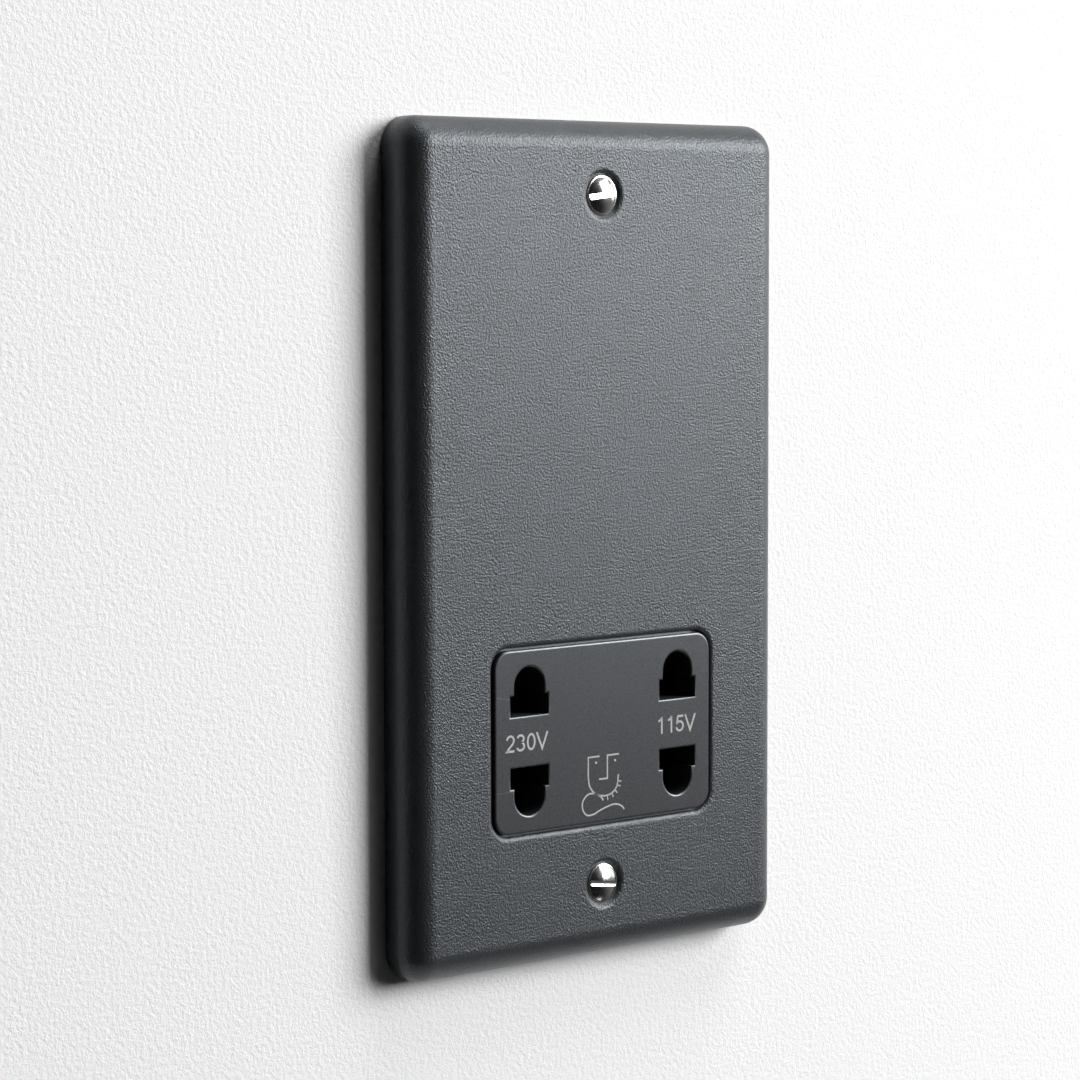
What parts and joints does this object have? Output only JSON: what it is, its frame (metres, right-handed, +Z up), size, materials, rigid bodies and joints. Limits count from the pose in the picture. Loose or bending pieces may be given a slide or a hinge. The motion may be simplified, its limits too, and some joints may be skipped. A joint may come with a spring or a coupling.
{
  "type": "shaver socket",
  "caption": "Upright dual-voltage shaver socket: a dark pressed plate with rolled edges, a moulded face with keyhole pin openings, and a stepped transformer housing behind.",
  "frame": {"origin": "on the wall plane, midway between the two fixing screws", "axes": "+X to the right seen from the room, +Y into the wall, +Z up; the front faces -Y"},
  "size_m": [0.086, 0.0497, 0.1466],
  "materials": {
    "powder_coated_steel": "fine textured powder coat",
    "chromed_steel": "polished plating",
    "dark_moulding": "satin",
    "black_moulding": "satin",
    "white_moulding": "satin",
    "spring_steel": "bright drawn",
    "zinc_steel": "zinc plated",
    "contact_brass": "stamped, unpolished",
    "core_steel": "varnished laminations",
    "winding_copper": "enamelled wire under clear tape",
    "board_laminate": "glass laminate with solder resist",
    "lead_insulation": "extruded"
  },
  "bodies": {
    "root": {"board_screws": "spring_steel", "circuit_board": "board_laminate", "contact_115_lower": "contact_brass", "contact_115_upper": "contact_brass", "contact_230_lower": "contact_brass", "contact_230_upper": "contact_brass", "earth_strap": "contact_brass", "fixing_screws": "chromed_steel", "front_plate": "powder_coated_steel", "inner_frame": "dark_moulding", "microswitch_body": "black_moulding", "plate_nuts": "zinc_steel", "primary_winding": "winding_copper", "pusher_springs": "spring_steel", "rear_housing": "black_moulding", "secondary_winding": "winding_copper", "shutter_spring": "spring_steel", "socket_face": "dark_moulding", "terminal_block": "black_moulding", "terminal_earth": "contact_brass", "terminal_live": "contact_brass", "terminal_neutral": "contact_brass", "terminal_screws": "zinc_steel", "thermal_cutout": "black_moulding", "transformer_bobbin": "white_moulding", "transformer_core": "core_steel", "winding_leads": "lead_insulation"},
    "shutter": {"shutter": "black_moulding"},
    "pusher": {"pusher_bar": "white_moulding"},
    "plunger": {"microswitch_plunger": "white_moulding"}
  },
  "joints": [
    {"name": "shutter_slide", "type": "slide", "parent": "root", "child": "shutter", "axis": [1, 0, 0], "range_m": [-0.008, 0.008], "stiffness_N_per_m": 60, "deforming": ["shutter_spring"]},
    {"name": "pusher_slide", "type": "slide", "parent": "root", "child": "pusher", "axis": [0, 1, 0], "range_m": [0, 0.0015], "stiffness_N_per_m": 300, "springref_m": -0.001, "deforming": ["pusher_springs"]},
    {"name": "plunger_slide", "type": "slide", "parent": "root", "child": "plunger", "axis": [0, 1, 0], "range_m": [0, 0.0015]}
  ],
  "couplings": [
    {"joint": "plunger_slide", "follows": "pusher_slide", "ratio": 1}
  ]
}
